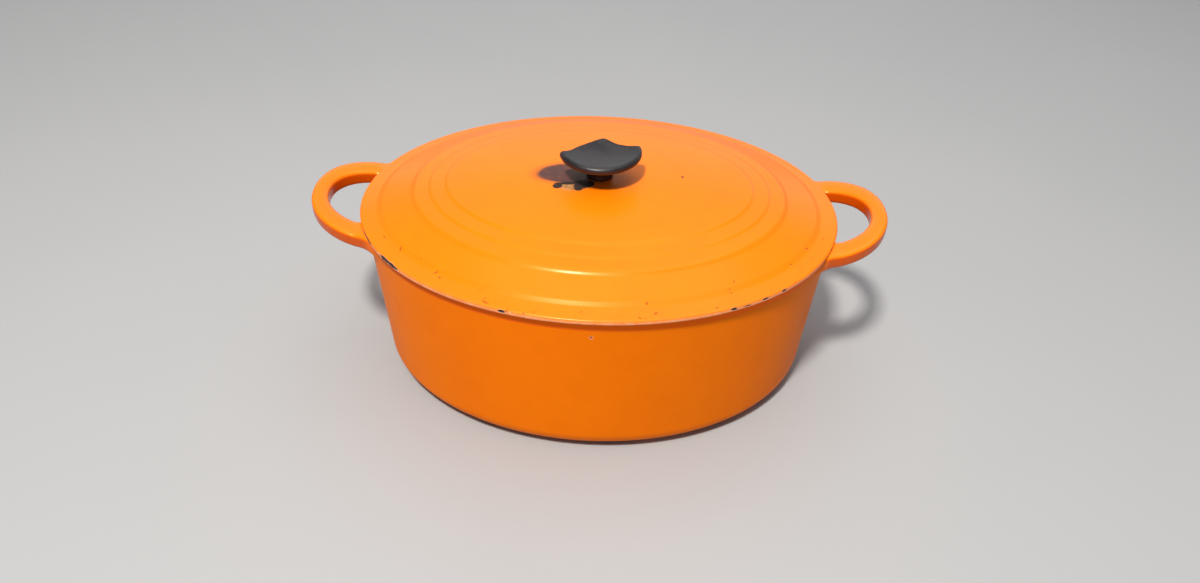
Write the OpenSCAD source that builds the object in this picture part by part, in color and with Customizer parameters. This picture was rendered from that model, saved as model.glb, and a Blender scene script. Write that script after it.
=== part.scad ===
// Oval cast iron dutch oven with a lift-off lid and a round lid knob.
// Origin: centre of the base, on the surface it stands on. +X runs to a handle, +Z is up.

/* [Pot] */
// Length of the pot body at its rim, without the handles
pot_length = 314; // [290:1:320]
// Width of the pot body at its rim
pot_width = 243.4; // [225:1:248]
// Height of the rim above the table
pot_height = 117; // [100:1:130]
// How much further out the rim is than the base, on each side
pot_draft = 7.2; // [4:0.2:10]
// Outer radius between the base and the wall
base_radius = 16; // [10:1:22]
// Thickness of the wall
wall = 3.8; // [3.4:0.1:5]
// Thickness of the floor
pot_floor = 4.4; // [3.6:0.1:6]
// Radius of the rounding along the rim
rim_round = 1.2; // [0.6:0.1:1.8]

/* [Handles] */
// Overall length across both handles
overall_length = 386; // [376:1:394]
// Half-width of a handle loop where it leaves the wall
loop_half_width = 47; // [43:0.5:52]
// Width of a handle's band, seen from above
band_width = 10.4; // [9:0.2:12]
// Thickness of a handle's band, up and down
band_height = 10.4; // [9:0.2:12]
// How far the top of a handle is below the rim where it leaves the wall
handle_drop = 1.5; // [1:0.5:12]
// How many degrees the handles slope upwards, away from the wall
handle_slope = 12.6; // [0:0.2:14]

/* [Lid] */
// Length of the lid
lid_length = 320; // [316:1:330]
// Width of the lid
lid_width = 249.2; // [246:1:256]
// Thickness of the lid's casting
lid_wall = 3.6; // [3.2:0.1:4.2]
// Thickness of the lid's edge
lid_edge = 4.4; // [3.5:0.1:5]
// Clearance between the pot's mouth and the lid's locating rib
rib_clearance = 1.2; // [0.8:0.1:2]
// How far the locating rib reaches down into the pot
rib_depth = 3.5; // [2:0.5:6]
// Height of the lid's centre above the pot's rim
crown_height = 24.8; // [22:0.2:26]

/* [Knob] */
// Diameter of the knob's disc
knob_diameter = 54; // [48:1:58]
// Height of the knob above the lid
knob_height = 20; // [18:0.5:24]
// Diameter of the knob's stem at its narrowest
stem_diameter = 17; // [15:0.5:20]
// How deep the top of the knob is dished
knob_dish = 2.6; // [1:0.1:4]
// Whether the back of the knob's disc is broken away
knob_broken = true; // [true, false]

/* [Hidden] */
$fn = 96;

// Small gap between pieces that are pressed or screwed together
fit_gap = 0.02;
// How far a cutting shape runs past the face that it cuts
past = 1;
// Segments of a very flat arc
flat_arc_fn = 720;

enamel = "darkorange";
phenolic = "#1d1d22";
brass = "#b5984c";
steel = "#a8abae";

// Pot: half-lengths and half-widths at the rim, outside and inside
rim_a = pot_length / 2;
rim_b = pot_width / 2;
mouth_a = rim_a - wall;
mouth_b = rim_b - wall;
cavity_radius = base_radius - wall / 2;

// Handles: each is a sloping puck centred over the wall, with an oval hole through it
loop_x = rim_a - 8.7;
handle_top = pot_height - handle_drop;
band_round = 4;
loop_reach = band_round + (overall_length / 2 - loop_x - band_round
    - (band_height - band_round) * sin(handle_slope)) / cos(handle_slope);
hole_reach = loop_reach - band_width;
// How much wider a handle's arm is at the wall than its band is at the tip
arm_spread = 5.3;
hole_half_width = loop_half_width - band_width - arm_spread;
// A swelling where each arm of a loop runs into the wall
root_half_size = [17, 8.5, 6.6];
root_centre = [rim_a - 17, loop_half_width - 3, handle_top - 1.6 - root_half_size[2]];

// Lid: half-lengths and half-widths of its edge, its shoulder and its three raised rings
edge_a = lid_length / 2;
edge_b = lid_width / 2;
edge_round = 1.8;
shoulder_a = edge_a - 11.5;
shoulder_b = edge_b - 10.4;
ring_a = [edge_a - 35.7, edge_a - 47.3, edge_a - 58.5];
ring_b = [edge_b - 30.6, edge_b - 42.8, edge_b - 53.9];
// Heights above the rim of the foot and the top of each step, from the shoulder inwards
foot_z = [lid_edge, 13.5, 16.3, 18.8];
step_z = [lid_edge + 2.6, 15, 17.3, 19.9];
// How far in a step runs while it climbs, and the ledge left at its foot
step_run = 1.4;
ledge = 0.4;
rib_a = mouth_a - rib_clearance;
rib_b = mouth_b - rib_clearance;
rib_thickness = 4;

// Knob and its fastening, with heights from the top of the lid
seat_radius = 12;
seat_z = pot_height + crown_height - 0.2;
under_z = seat_z - lid_wall - 0.6;
foot_r = stem_diameter / 2 + 0.4;
disc_edge = 5;
// Height on the knob above which the break cuts, and a length past the disc's edge
break_z = 8.5;
disc_reach = knob_diameter;
screw_r = 3;
screw_hole_r = 3.5;
screw_head_r = 6.2;
screw_head_height = 3.4;
screw_engagement = 9;
slot_width = 1.6;
slot_depth = 1.8;
washer_r = 8;
washer_thickness = 1.6;
insert_r = 4.75;
insert_length = 12;
insert_flange_r = 6.2;
insert_flange_height = 1.2;

// An oval solid of half-length a, where its profile is drawn, and half-width b: four quarter turns
module oval(a, b) {
    for (flip_x = [0, 1], flip_y = [0, 1]) mirror([flip_x, 0, 0]) mirror([0, flip_y, 0])
        scale([1, b / a, 1]) rotate_extrude(angle = 90) children();
}

// A vessel's half-section: a flat base, a rounded corner and a drafted wall
module vessel_section(a, height, draft, radius) {
    lean = atan(draft / height);
    centre_x = a - draft - radius * (1 - sin(lean)) / cos(lean);
    polygon([
        [0, 0],
        [centre_x, 0],
        [centre_x + radius * cos(lean), radius - radius * sin(lean)],
        [a, height],
        [0, height]
    ]);
    translate([centre_x, radius]) circle(radius);
}

// A disc's half-section with its outer edges rounded
module puck_section(a, height, radius) {
    square([a - radius, height]);
    translate([0, radius]) square([a, height - 2 * radius]);
    for (z = [radius, height - radius]) translate([a - radius, z]) circle(radius);
}

// A hole's half-section that leaves rounded edges on both faces
module hole_section(a, height, radius) {
    difference() {
        translate([0, -past]) square([a + radius, height + 2 * past]);
        translate([a, radius]) square([radius + past, height - 2 * radius]);
        for (z = [radius, height - radius]) translate([a + radius, z]) circle(radius);
    }
}

module handle_loop() {
    translate([loop_x, 0, handle_top]) rotate([0, -handle_slope, 0])
        translate([0, 0, -band_height]) difference() {
            oval(loop_reach, loop_half_width) puck_section(loop_reach, band_height, band_round);
            oval(hole_reach, hole_half_width) hole_section(hole_reach, band_height, band_round);
        }
    for (side = [-1, 1])
        translate([root_centre[0], side * root_centre[1], root_centre[2]])
            scale(root_half_size) sphere(1);
}

module pot() {
    color(enamel) difference() {
        union() {
            oval(rim_a, rim_b) difference() {
                vessel_section(rim_a, pot_height, pot_draft, base_radius);
                translate([rim_a - rim_round, pot_height - rim_round]) difference() {
                    square(rim_round + past);
                    circle(rim_round);
                }
            }
            for (turn = [0, 180]) rotate(turn) handle_loop();
        }
        translate([0, 0, pot_floor]) oval(mouth_a, mouth_b)
            vessel_section(mouth_a, pot_height, pot_draft, cavity_radius);
    }
}

// One tier of the lid: a short step up, then a slope. It stands on the tier below.
module tier(a, b, foot_z, step_z, top_a, top_z) {
    oval(a, b) polygon([
        [0, foot_z],
        [a + step_run, foot_z],
        [a, step_z],
        [top_a, top_z],
        [0, top_z]
    ]);
}

// Everything inside the lid's shoulder, as a filled stack of tiers under a shallow cap
module lid_stack(low_a, low_b, inset) {
    a = [low_a, for (ring = ring_a) ring - inset];
    b = [low_b, for (ring = ring_b) ring - inset];
    cap_a = a[3] - 2 * ledge;
    cap_rise = crown_height - step_z[3];
    cap_radius = (pow(cap_a, 2) + pow(cap_rise, 2)) / (2 * cap_rise);
    for (i = [0:2]) {
        top_a = a[i + 1] + step_run + ledge;
        tier(a[i], b[i], foot_z[i], step_z[i], top_a, foot_z[i + 1]);
    }
    tier(a[3], b[3], foot_z[3], step_z[3] - ledge, a[3] - ledge, step_z[3]);
    oval(a[3], b[3]) intersection() {
        translate([0, crown_height - cap_radius]) circle(cap_radius, $fn = flat_arc_fn);
        translate([0, step_z[3]]) square([a[3], cap_rise]);
    }
}

module lid() {
    hollow_a = rib_a - rib_thickness;
    hollow_b = rib_b - rib_thickness;
    hollow_bottom = -rib_depth - past;
    color(enamel) translate([0, 0, pot_height]) difference() {
        union() {
            oval(edge_a, edge_b) puck_section(edge_a, lid_edge, edge_round);
            lid_stack(shoulder_a, shoulder_b, 0);
            translate([0, 0, -rib_depth]) oval(rib_a, rib_b) square([rib_a, rib_depth + past]);
        }
        difference() {
            union() {
                translate([0, 0, -lid_wall]) lid_stack(hollow_a - step_run - ledge, hollow_b, inset = 1);
                translate([0, 0, hollow_bottom]) oval(hollow_a, hollow_b)
                    square([hollow_a, foot_z[0] - lid_wall - hollow_bottom]);
            }
            translate([0, 0, under_z - pot_height]) cylinder(r = seat_radius, h = lid_wall);
        }
        translate([0, 0, seat_z - pot_height]) cylinder(r = seat_radius, h = lid_wall);
        translate([0, 0, under_z - pot_height - past])
            cylinder(r = screw_hole_r, h = lid_wall + 2 * past);
    }
}

// The part of the disc that has broken off: everything behind two bites that meet in a peak
module break_shape() {
    translate([0, 0, break_z]) linear_extrude(knob_height) polygon([
        [-disc_reach, -8],
        [-25, -6.5],
        [-20, -3],
        [-15, 4.5],
        [-3.5, 14],
        [1.6, 16.6],
        [5, 14],
        [9.5, 10.2],
        [16, 7],
        [disc_reach, 4.5],
        [disc_reach, disc_reach],
        [-disc_reach, disc_reach]
    ]);
}

module knob() {
    disc_r = knob_diameter / 2;
    stem_r = stem_diameter / 2;
    edge_r = disc_edge / 2;
    dish_radius = (pow(disc_r - edge_r, 2) + pow(knob_dish, 2)) / (2 * knob_dish);
    color(phenolic) translate([0, 0, seat_z]) difference() {
        rotate_extrude() difference() {
            union() {
                polygon([
                    [0, 0],
                    [foot_r, 0],
                    [foot_r, 1.2],
                    [stem_r, 4.5],
                    [stem_r + 0.6, 8],
                    [stem_r + 4, 11.5],
                    [disc_r - edge_r, knob_height - disc_edge],
                    [disc_r - edge_r, knob_height],
                    [0, knob_height]
                ]);
                translate([disc_r - edge_r, knob_height - edge_r]) circle(edge_r);
            }
            translate([0, knob_height - knob_dish + dish_radius])
                circle(dish_radius, $fn = flat_arc_fn);
        }
        if (knob_broken) break_shape();
        translate([0, 0, -past]) cylinder(r = insert_r + fit_gap, h = insert_length + past);
        translate([0, 0, -past])
            cylinder(r = insert_flange_r + fit_gap, h = insert_flange_height + past);
    }
}

module knob_insert() {
    color(brass) translate([0, 0, seat_z]) difference() {
        union() {
            cylinder(r = insert_r, h = insert_length);
            cylinder(r = insert_flange_r, h = insert_flange_height);
        }
        translate([0, 0, -past]) cylinder(r = screw_r + fit_gap, h = screw_engagement + past + 1);
    }
}

module knob_screw() {
    head_top = under_z - washer_thickness;
    color(steel) difference() {
        union() {
            translate([0, 0, head_top - screw_head_height])
                cylinder(r1 = screw_head_r - 1, r2 = screw_head_r, h = 1);
            translate([0, 0, head_top - screw_head_height + 1])
                cylinder(r = screw_head_r, h = screw_head_height - 1);
            translate([0, 0, head_top])
                cylinder(r = screw_r, h = seat_z + screw_engagement - head_top);
        }
        translate([-screw_head_r - past, -slot_width / 2, head_top - screw_head_height - past])
            cube([2 * (screw_head_r + past), slot_width, slot_depth + past]);
    }
}

module screw_washer() {
    color(steel) translate([0, 0, under_z - washer_thickness]) difference() {
        cylinder(r = washer_r, h = washer_thickness);
        translate([0, 0, -past]) cylinder(r = screw_r + 0.2, h = washer_thickness + 2 * past);
    }
}

pot();
lid();
knob();
knob_insert();
knob_screw();
screw_washer();
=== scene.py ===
import math

import bmesh
import bpy
import numpy as np
from mathutils import Matrix, Vector


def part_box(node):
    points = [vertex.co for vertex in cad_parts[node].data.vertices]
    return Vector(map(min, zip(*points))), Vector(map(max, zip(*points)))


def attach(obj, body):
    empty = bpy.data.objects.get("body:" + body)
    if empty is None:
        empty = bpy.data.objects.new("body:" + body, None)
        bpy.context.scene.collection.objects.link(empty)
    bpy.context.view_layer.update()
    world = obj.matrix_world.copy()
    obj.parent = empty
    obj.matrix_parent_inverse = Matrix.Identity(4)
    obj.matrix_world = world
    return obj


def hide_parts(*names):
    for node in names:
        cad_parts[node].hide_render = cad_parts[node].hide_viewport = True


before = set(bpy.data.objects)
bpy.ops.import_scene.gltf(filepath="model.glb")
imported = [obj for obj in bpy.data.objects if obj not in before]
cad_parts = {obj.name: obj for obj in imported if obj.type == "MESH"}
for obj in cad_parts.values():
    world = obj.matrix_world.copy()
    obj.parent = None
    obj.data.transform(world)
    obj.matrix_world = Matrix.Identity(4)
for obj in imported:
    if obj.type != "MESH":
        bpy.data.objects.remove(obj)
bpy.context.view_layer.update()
MM = 0.001

# ---------------------------------------------------------------- sizes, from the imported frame
pot_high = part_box("pot")[1]
lid_low, lid_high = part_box("lid")
knob_low, knob_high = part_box("knob")

# The lid's locating rib hangs this far below the rim.
RIB_DEPTH = 3.5 * MM
RIM_Z = lid_low.z + RIB_DEPTH
LID_A, LID_B = lid_high.x, lid_high.y
OVERHANG = 3.0 * MM
RIM_A = LID_A - OVERHANG
# The pot's ovals at every height have the same difference between half-length and half-width.
OVAL_SPREAD = RIM_A - pot_high.y
DRAFT = 7.2 * MM
WALL = 3.8 * MM
FLOOR_Z = 4.4 * MM
BASE_RADIUS = 16 * MM
HANDLE_TIP = pot_high.x
SEAT_Z = knob_low.z
KNOB_HEIGHT = knob_high.z - knob_low.z
CROWN_Z = lid_high.z
HOLE_R = 3.5 * MM


# ---------------------------------------------------------------- mesh tools
def unit(vector):
    return vector / np.linalg.norm(vector)


def rounded_path(corners, arc_step=0.5 * MM, line_step=4 * MM):
    """Points along a path of (x, z, radius) corners, each rounded by an arc of its radius."""
    points = [np.array(corners[0][:2])]

    def line_to(end):
        start = points[-1]
        count = max(1, math.ceil(np.linalg.norm(end - start) / line_step))
        points.extend(start + (end - start) * k / count for k in range(1, count + 1))

    for before, corner, after in zip(corners, corners[1:], corners[2:]):
        at, radius = np.array(corner[:2]), corner[2]
        to_before = unit(np.array(before[:2]) - at)
        to_after = unit(np.array(after[:2]) - at)
        half = math.acos(np.clip(to_before @ to_after, -1, 1)) / 2
        cut = radius / math.tan(half)
        centre = at + unit(to_before + to_after) * radius / math.sin(half)
        line_to(at + to_before * cut)
        first = at + to_before * cut - centre
        last = at + to_after * cut - centre
        turn = math.pi - 2 * half
        count = max(3, math.ceil(radius * turn / arc_step))
        for k in range(1, count + 1):
            share = k / count
            mixed = first * math.sin((1 - share) * turn) + last * math.sin(share * turn)
            points.append(centre + mixed / math.sin(turn))
    line_to(np.array(corners[-1][:2]))
    return np.array(points)


def ring_quads(rings, wrap=False):
    """Quads between neighbouring rings. rings is an array of vertex numbers, one closed ring a row."""
    lower, upper = rings[:-1], rings[1:]
    if wrap:
        lower, upper = rings, np.roll(rings, -1, 0)
    quads = [lower, np.roll(lower, -1, 1), np.roll(upper, -1, 1), upper]
    return np.stack(quads, -1).reshape(-1, 4)


def fan(ring, pole):
    """Triangles from a closed ring to a pole."""
    poles = np.full_like(ring, pole)
    return np.stack([ring, np.roll(ring, -1), poles], -1)


def build(name, points, face_groups, materials, merge=0):
    """A smooth closed mesh. face_groups is a list of (faces, material number)."""
    faces, numbers = [], []
    for group, number in face_groups:
        faces += [list(face) for face in group]
        numbers += [number] * len(group)
    mesh = bpy.data.meshes.new(name)
    mesh.from_pydata([tuple(p) for p in points], [], [[int(v) for v in f] for f in faces])
    mesh.polygons.foreach_set("material_index", numbers)
    for material in materials:
        mesh.materials.append(material)
    shape = bmesh.new()
    shape.from_mesh(mesh)
    if merge:
        bmesh.ops.remove_doubles(shape, verts=shape.verts, dist=merge)
        bmesh.ops.dissolve_degenerate(shape, edges=shape.edges, dist=merge)
    bmesh.ops.recalc_face_normals(shape, faces=shape.faces)
    shape.to_mesh(mesh)
    shape.free()
    mesh.shade_smooth()
    thing = bpy.data.objects.new(name, mesh)
    bpy.context.scene.collection.objects.link(thing)
    return thing


def store(thing, name, values):
    """Keeps one number for each vertex, which a material reads by name."""
    kept = thing.data.attributes.new(name, "FLOAT", "POINT")
    kept.data.foreach_set("value", values.reshape(-1).astype(np.float32))


def stand_for(thing, node, body):
    """thing replaces a CAD node and rides on its body."""
    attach(thing, body)
    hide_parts(node)


# ---------------------------------------------------------------- shader tools
class Shader:
    """A material's node tree, with one short call for each kind of node."""

    def __init__(self, name):
        self.material = bpy.data.materials.new(name)
        self.material.use_nodes = True
        self.tree = self.material.node_tree
        self.tree.nodes.clear()
        coordinates = self.node("ShaderNodeTexCoord")
        self.point = coordinates.outputs["Object"]
        self.normal = coordinates.outputs["Normal"]
        self.axes = self.split(self.point)

    def node(self, kind, **settings):
        made = self.tree.nodes.new(kind)
        for key, value in settings.items():
            setattr(made, key, value)
        return made

    def feed(self, socket, value):
        if isinstance(value, bpy.types.NodeSocket):
            self.tree.links.new(value, socket)
        elif value is not None:
            wants_alpha = socket.type == "RGBA" and len(value) == 3
            socket.default_value = (*value, 1) if wants_alpha else value

    def split(self, vector):
        parts = self.node("ShaderNodeSeparateXYZ")
        self.feed(parts.inputs[0], vector)
        return parts.outputs["X"], parts.outputs["Y"], parts.outputs["Z"]

    def join(self, x, y, z):
        made = self.node("ShaderNodeCombineXYZ")
        for socket, value in zip(made.inputs, (x, y, z)):
            self.feed(socket, value)
        return made.outputs[0]

    def math(self, operation, *values, clamp=False):
        made = self.node("ShaderNodeMath", operation=operation, use_clamp=clamp)
        for socket, value in zip(made.inputs, values):
            self.feed(socket, value)
        return made.outputs[0]

    def length(self, x, y):
        squares = self.math("ADD", self.math("POWER", x, 2.0), self.math("POWER", y, 2.0))
        return self.math("SQRT", squares)

    def oval_share(self, a, b):
        """Distance from the Z axis, as a share of the radius of an oval of half-axes a and b."""
        return self.length(self.math("DIVIDE", self.axes[0], a), self.math("DIVIDE", self.axes[1], b))

    def band(self, value, low, high, to_low=0.0, to_high=1.0):
        """A smooth step from to_low to to_high as value goes from low to high."""
        made = self.node("ShaderNodeMapRange", interpolation_type="SMOOTHSTEP")
        for socket, item in zip(made.inputs, (value, low, high, to_low, to_high)):
            self.feed(socket, item)
        return made.outputs[0]

    def noise(self, scale, detail=3.0, roughness=0.5, distortion=0.0, point=None):
        made = self.node("ShaderNodeTexNoise")
        self.feed(made.inputs["Vector"], self.point if point is None else point)
        made.inputs["Scale"].default_value = scale
        made.inputs["Detail"].default_value = detail
        made.inputs["Roughness"].default_value = roughness
        made.inputs["Distortion"].default_value = distortion
        return made.outputs["Fac"]

    def cells(self, scale):
        """Distance to the nearest of many scattered points."""
        made = self.node("ShaderNodeTexVoronoi")
        self.feed(made.inputs["Vector"], self.point)
        made.inputs["Scale"].default_value = scale
        return made.outputs["Distance"]

    def mix(self, factor, first, second):
        made = self.node("ShaderNodeMix", data_type="RGBA", clamp_factor=True)
        self.feed(made.inputs["Factor"], factor)
        self.feed(made.inputs[6], first)
        self.feed(made.inputs[7], second)
        return made.outputs[2]

    def blend(self, factor, first, second):
        made = self.node("ShaderNodeMix", data_type="FLOAT", clamp_factor=True)
        self.feed(made.inputs[0], factor)
        self.feed(made.inputs[2], first)
        self.feed(made.inputs[3], second)
        return made.outputs[0]

    def attribute(self, name):
        made = self.node("ShaderNodeAttribute", attribute_name=name)
        return made.outputs["Fac"]

    def torn(self, ragged):
        """The chip attribute of the mesh, with a ragged edge."""
        wobble = self.math("SUBTRACT", self.noise(520, 4.0, 0.65), 0.5)
        return self.math("ADD", self.attribute("chip"), self.math("MULTIPLY", wobble, ragged))

    def spot(self, centre, half_size, turn=0.0, ragged=0.3, grain=120.0, soft=0.12):
        """1 inside a ragged oval lying in the XY plane, 0 outside it. Lengths are in metres."""
        x = self.math("SUBTRACT", self.axes[0], centre[0])
        y = self.math("SUBTRACT", self.axes[1], centre[1])
        cos, sin = math.cos(turn), math.sin(turn)
        along = self.math("ADD", self.math("MULTIPLY", x, cos), self.math("MULTIPLY", y, sin))
        across = self.math("SUBTRACT", self.math("MULTIPLY", y, cos), self.math("MULTIPLY", x, sin))
        along = self.math("DIVIDE", along, half_size[0])
        across = self.math("DIVIDE", across, half_size[1])
        reach = self.length(along, across)
        wobble = self.math("SUBTRACT", self.noise(grain, 4.0, 0.6), 0.5)
        reach = self.math("MULTIPLY_ADD", wobble, ragged * 2, reach)
        return self.band(reach, 1 - soft, 1 + soft, 1.0, 0.0)

    def finish(self, colour, roughness, height=None, depth=0.1 * MM, **fixed):
        """Ends in a Principled shader. height is bumped by depth metres, and fixed sets plain sockets."""
        shader = self.node("ShaderNodeBsdfPrincipled")
        self.feed(shader.inputs["Base Color"], colour)
        self.feed(shader.inputs["Roughness"], roughness)
        if height is not None:
            bump = self.node("ShaderNodeBump")
            bump.inputs["Distance"].default_value = depth
            bump.inputs["Strength"].default_value = 1.0
            self.feed(bump.inputs["Height"], height)
            self.feed(shader.inputs["Normal"], bump.outputs[0])
        for key, value in fixed.items():
            self.feed(shader.inputs[key.replace("_", " ")], value)
        output = self.node("ShaderNodeOutputMaterial")
        self.feed(output.inputs["Surface"], shader.outputs[0])
        return self.material


# ---------------------------------------------------------------- finishes
FLAME = (0.87, 0.180, 0.0015)
FLAME_DEEP = (0.55, 0.066, 0.001)
GROUND_COAT = (0.78, 0.42, 0.30)
BARE_IRON = (0.028, 0.017, 0.018)
RUST = (0.27, 0.066, 0.004)
CREAM = (0.80, 0.70, 0.52)
# The pale coat of the rubbed lip, which also serves as its painted highlight
LIP_COAT_AND_HIGHLIGHT = (0.86, 0.38, 0.19)
# The red of the painted shadow on the wall under the lid's lip
LIP_SHADOW_RED = (0.95, 0.130, 0.006)
SCORCHED = (0.085, 0.030, 0.012)
BURNT = (0.052, 0.026, 0.031)
# The glaze mirrors in a warm tint. The lid and the handles have a thin clear coat, and the wall has none.
LID_GLAZE = {
    "Specular_IOR_Level": 0.28,
    "Specular_Tint": (1.0, 0.78, 0.32),
    "Coat_Weight": 0.08,
    "Coat_Roughness": 0.17,
}
POT_GLAZE = {"Specular_Tint": (1.0, 0.72, 0.30), "Coat_Roughness": 0.12}


def glaze_relief(s):
    """The slow waviness and fine orange peel of fired enamel, as a height from 0 to 1."""
    slow = s.noise(22, 2.0, 0.4)
    peel = s.noise(420, 2.0, 0.5)
    return s.math("ADD", s.math("MULTIPLY", slow, 0.8), s.math("MULTIPLY", peel, 0.045))


def scratches(s, turn, stretch, scale, low, high):
    """Thin straight hairlines along one direction in the XY plane."""
    cos, sin = math.cos(turn), math.sin(turn)
    x = s.math("ADD", s.math("MULTIPLY", s.axes[0], cos), s.math("MULTIPLY", s.axes[1], sin))
    y = s.math("SUBTRACT", s.math("MULTIPLY", s.axes[1], cos), s.math("MULTIPLY", s.axes[0], sin))
    drawn = s.join(s.math("MULTIPLY", x, stretch), y, s.axes[2])
    return s.band(s.noise(scale, 2.0, 0.6, 0.4, point=drawn), low, high)


def flame_colour(s):
    """The orange of the outer enamel, a little uneven in depth and tone."""
    broad = s.band(s.noise(9, 3.0, 0.55), 0.35, 0.70)
    fine = s.band(s.noise(70, 4.0, 0.6), 0.40, 0.75)
    deeper = s.math("ADD", s.math("MULTIPLY", broad, 0.10), s.math("MULTIPLY", fine, 0.05))
    return s.mix(deeper, FLAME, FLAME_DEEP)


def base_scorch(s):
    """Clouds of scorching on the base, which run a little way up the wall."""
    return s.band(s.noise(18, 6.0, 0.65), 0.34, 0.66)


def lid_enamel():
    """Orange enamel with the burn and chip beside the knob, specks near the edge and a chipped lip."""
    s = Shader("enamel_orange_lid")
    colour = flame_colour(s)
    rough = s.blend(s.noise(35, 4.0, 0.6), 0.27, 0.36)
    height = glaze_relief(s)

    share = s.oval_share(LID_A, LID_B)

    # Brown specks where the glaze is pitted, most of them on the flat near the edge
    near_edge = s.band(share, 0.875, 0.915)
    pits = s.band(s.cells(210), 0.10, 0.20, 1.0, 0.0)
    clusters = s.band(s.noise(17, 2.0, 0.5), 0.42, 0.58)
    chosen = s.band(s.noise(75, 2.0, 0.5), 0.47, 0.54)
    specks = s.math("MULTIPLY", s.math("MULTIPLY", pits, chosen), s.math("MULTIPLY", near_edge, clusters))
    for k, (x, y, half_length) in enumerate(LID_SPECKS):
        turn = math.atan2(-x * LID_B ** 2, y * LID_A ** 2) + 0.9 * math.sin(4.0 * k)
        size = (half_length * MM, (0.50 + 0.15 * math.sin(7.0 * k)) * MM)
        specks = s.math("MAXIMUM", specks, s.spot((x * MM, y * MM), size, turn, 0.8, 900, 0.5))
    dots = s.band(s.cells(60), 0.02, 0.04, 1.0, 0.0)
    lone = s.math("MULTIPLY", dots, s.band(s.noise(40, 3.0, 0.5), 0.66, 0.70))
    stain = s.math("MULTIPLY", s.band(s.noise(85, 5.0, 0.65), 0.55, 0.72), near_edge)
    colour = s.mix(s.math("MULTIPLY", stain, 0.30), colour, (0.60, 0.11, 0.006))
    colour = s.mix(s.math("MULTIPLY", specks, 0.78), colour, RUST)
    colour = s.mix(s.math("MULTIPLY", lone, 0.7), colour, RUST)

    # Thin, rubbed enamel along the lip, where the pale coat below shows through, together with a painted
    # highlight there, strongest at the front
    low_on_lip = s.band(s.axes[2], RIM_Z + 1.7 * MM, RIM_Z + 2.5 * MM, 1.0, 0.12)
    rubbed = s.math("MULTIPLY", s.band(share, 0.989, 0.996), low_on_lip)
    in_front = s.band(s.axes[1], -0.35 * LID_B, -0.80 * LID_B, 0.15, 1.0)
    patchy = s.band(s.noise(160, 4.0, 0.65), 0.25, 0.75, 0.35, 0.95)
    rubbed = s.math("MULTIPLY", s.math("MULTIPLY", rubbed, in_front), patchy)
    colour = s.mix(rubbed, colour, LIP_COAT_AND_HIGHLIGHT)

    # The burn left of the stem: a soft brown halo, then a mottled purple-grey film
    halo = s.spot((-21.5 * MM, 2 * MM), (25 * MM, 14 * MM), 0.10, 0.10, 60, 0.22)
    film = s.spot((-19 * MM, 1.5 * MM), (22.5 * MM, 12 * MM), 0.10, 0.08, 90, 0.10)
    worn_film = s.band(s.noise(150, 5.0, 0.65), 0.34, 0.72, 0.97, 0.86)
    colour = s.mix(s.math("MULTIPLY", halo, 0.60), colour, (0.30, 0.075, 0.012))
    colour = s.mix(s.math("MULTIPLY", film, worn_film), colour, BURNT)
    rough = s.blend(film, rough, 0.50)

    # The chip in front of it: ragged black iron round a smeared tan patch of ground coat
    black = s.spot((-27 * MM, -15 * MM), (3.2 * MM, 3.0 * MM), 0.4, 0.55, 260, 0.10)
    for centre, half_size, turn in (
        ((-10 * MM, -12.5 * MM), (7.0 * MM, 4.6 * MM), 0.35),
        ((-20 * MM, -11.3 * MM), (8.5 * MM, 1.7 * MM), 0.10),
        ((-13.5 * MM, -17.5 * MM), (2.6 * MM, 2.4 * MM), 0.0),
    ):
        black = s.math("MAXIMUM", black, s.spot(centre, half_size, turn, 0.55, 230, 0.10))
    tan = s.spot((-20 * MM, -15.6 * MM), (6.6 * MM, 3.9 * MM), -0.10, 0.30, 200, 0.30)
    tan_colour = s.mix(s.band(s.noise(420, 5.0, 0.7), 0.3, 0.7), (0.46, 0.27, 0.09), (0.16, 0.085, 0.045))
    colour = s.mix(s.math("MULTIPLY", tan, 0.85), colour, tan_colour)
    colour = s.mix(black, colour, BARE_IRON)
    chip = s.math("MAXIMUM", black, tan)
    rough = s.blend(chip, rough, 0.75)

    # One small black pit to the right of the knob
    pit = s.spot((55 * MM, 4 * MM), (1.0 * MM, 0.9 * MM), 0.0, 0.4, 500, 0.15)
    colour = s.mix(pit, colour, BARE_IRON)

    # Chips along the lip, whose depth is in the mesh: iron inside a thin rim of ground coat
    torn = s.torn(0.55)
    coat = s.band(torn, 0.34, 0.42)
    iron = s.band(torn, 0.52, 0.60)
    colour = s.mix(coat, colour, GROUND_COAT)
    colour = s.mix(iron, colour, BARE_IRON)
    rough = s.blend(coat, rough, 0.6)

    loss = s.math("MAXIMUM", s.math("MAXIMUM", chip, iron), s.math("MAXIMUM", specks, pit))
    height = s.math("SUBTRACT", height, s.math("MULTIPLY", loss, 2.2))
    one_way = scratches(s, 0.5, 0.03, 900, 0.70, 0.76)
    other_way = scratches(s, 2.2, 0.03, 800, 0.71, 0.77)
    hairs = s.math("MAXIMUM", one_way, other_way)
    rough = s.blend(s.math("MULTIPLY", hairs, 0.6), rough, 0.45)
    return s.finish(colour, rough, height, 0.12 * MM, **LID_GLAZE)


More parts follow.
